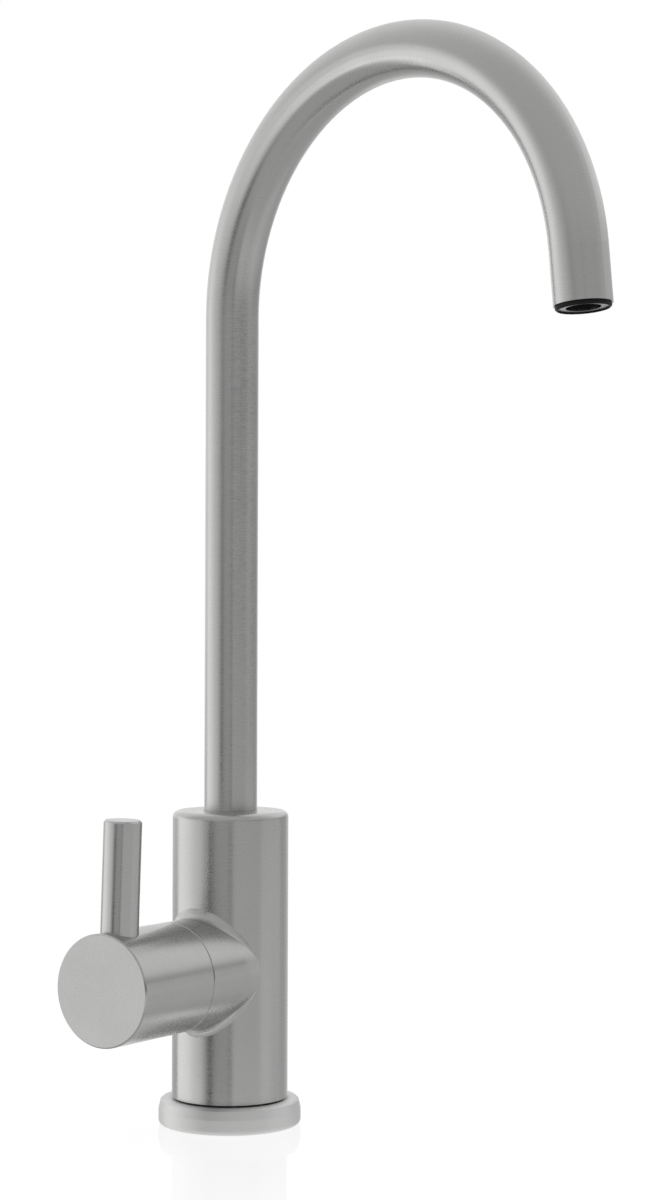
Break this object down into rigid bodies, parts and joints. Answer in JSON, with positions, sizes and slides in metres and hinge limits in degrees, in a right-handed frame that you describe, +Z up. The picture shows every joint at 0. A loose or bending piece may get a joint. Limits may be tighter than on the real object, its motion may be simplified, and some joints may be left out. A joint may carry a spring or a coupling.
{
  "type": "filtered water tap",
  "caption": "Slim brushed-steel drinking-water tap: upright column on a round base, side lever on a short drum, and a swivelling swan-neck spout with a black outlet.",
  "frame": {"origin": "centre of the base on the worktop's surface", "axes": "+Z up along the column; the valve branch and knob point along -X; the spout points ahead along -Y at zero swing and is stored swung 13.1 degrees from there towards the knob, as pictured"},
  "size_m": [0.0833, 0.167, 0.3775],
  "materials": {
    "column_steel": "satin brushed along the column",
    "flange_steel": "satin, turned",
    "knob_steel": "satin, fine grain",
    "spout_steel": "satin brushed along the tube",
    "fixing_steel": "plain machined",
    "jet_steel": "plain turned",
    "brass": "plain machined",
    "ceramic": "lapped matt ceramic",
    "rubber": "matt black",
    "acetal": "plain white",
    "black_plastic": "satin black"
  },
  "bodies": {
    "tap_body": {"body": "column_steel", "base_flange": "flange_steel", "body_seal_ring": "rubber", "base_gasket": "rubber", "shank": "fixing_steel", "shank_seal": "rubber", "rubber_washer": "rubber", "clamp_washer": "fixing_steel", "lock_washer": "fixing_steel", "fixing_nut": "brass", "cartridge_housing": "brass", "cartridge_oring": "rubber", "seat_seal": "rubber", "fixed_disc": "ceramic", "spout_thrust_washer": "acetal", "spout_retaining_screw": "fixing_steel"},
    "lever": {"knob": "knob_steel", "lever_rod": "knob_steel", "knob_set_screw": "fixing_steel", "spindle": "brass", "moving_disc": "ceramic", "spindle_thrust_washer": "acetal", "spindle_orings": "rubber", "spindle_circlip": "fixing_steel", "stop_pin": "fixing_steel"},
    "spout": {"spout_tube": "spout_steel", "spout_ferrule": "brass", "spout_orings": "rubber", "spout_bearing_rings": "acetal", "outlet_insert": "black_plastic", "jet_ring": "jet_steel", "flow_straightener": "black_plastic", "outlet_oring": "rubber"}
  },
  "joints": [
    {"name": "lever_turn", "type": "hinge", "parent": "tap_body", "child": "lever", "pos_m": [0, 0, 0.0472], "axis": [1, 0, 0], "range_deg": [-2, 88]},
    {"name": "spout_swivel", "type": "hinge", "parent": "tap_body", "child": "spout", "pos_m": [0, 0, 0.16], "axis": [0, 0, 1], "continuous": true}
  ]
}
